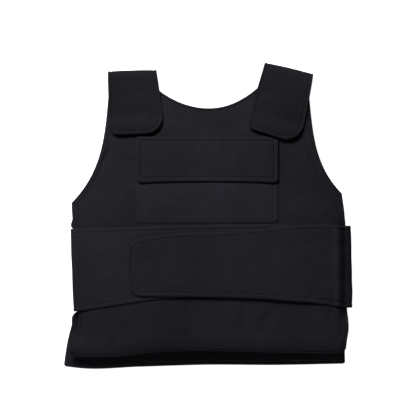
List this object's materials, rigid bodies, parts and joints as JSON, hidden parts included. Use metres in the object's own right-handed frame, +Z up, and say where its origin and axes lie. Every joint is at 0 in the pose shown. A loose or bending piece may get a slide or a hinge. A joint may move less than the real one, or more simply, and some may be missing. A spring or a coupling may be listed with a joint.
{
  "type": "stab vest",
  "caption": "Padded stab vest lying flat: front and back panels joined by wide shoulder straps and lapped waist bands, with a flapped chest pocket.",
  "frame": {"origin": "on the floor, under the middle of the vest's outline as it lies flat on its back", "axes": "+Y from the hem to the shoulders, +Z up out of the front of the vest, +X to the right of someone looking down at the front"},
  "size_m": [0.5464, 0.5811, 0.0524],
  "materials": {
    "back_cloth": "matt black woven polyester over padding",
    "front_cloth": "matt black woven polyester over padding",
    "pocket_cloth": "matt black woven polyester, topstitched",
    "strap_cloth": "matt black woven polyester, topstitched near the edge",
    "band_cloth": "matt black woven polyester, topstitched near the edge"
  },
  "bodies": {
    "root": {"back_panel": "back_cloth", "front_panel": "front_cloth", "chest_pocket": "pocket_cloth", "pocket_flap": "pocket_cloth", "shoulder_strap_left": "strap_cloth", "shoulder_strap_right": "strap_cloth", "side_band_under": "band_cloth", "side_band_top": "band_cloth"}
  },
  "joints": []
}
